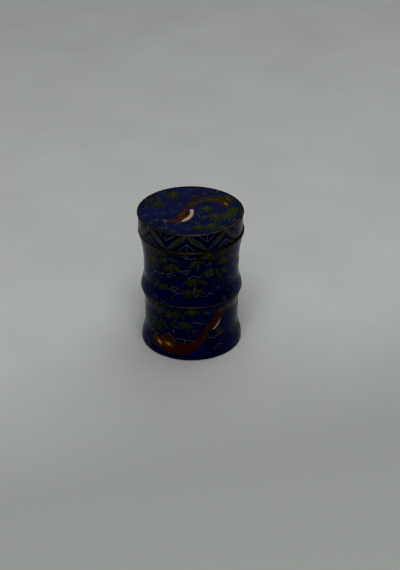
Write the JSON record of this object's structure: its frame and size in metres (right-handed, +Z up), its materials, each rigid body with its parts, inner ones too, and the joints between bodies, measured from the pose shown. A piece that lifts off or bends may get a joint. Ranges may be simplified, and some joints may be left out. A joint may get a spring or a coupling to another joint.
{
  "type": "lidded cloisonne enamel box",
  "caption": "Small round box shaped like a length of bamboo, enamelled over copper with brass rings, and a flat lid that lifts off a collar.",
  "frame": {"origin": "middle of the foot ring's underside, on the surface that the box stands on", "axes": "+Z up along the box's own axis, and -Y towards the side that shows the birds"},
  "size_m": [0.0561, 0.0558, 0.076],
  "materials": {
    "enamel": "polished cobalt blue glass enamel fused over copper, with inlaid motifs edged in fine wire",
    "brass": "aged, handled brass, darkened in the corners"
  },
  "bodies": {
    "root": {"body_shell": "enamel", "foot_ring": "brass", "node_ring": "brass", "mouth_rim": "brass", "lid_shell": "enamel", "lid_lower_rim": "brass", "lid_upper_rim": "brass"}
  },
  "joints": []
}
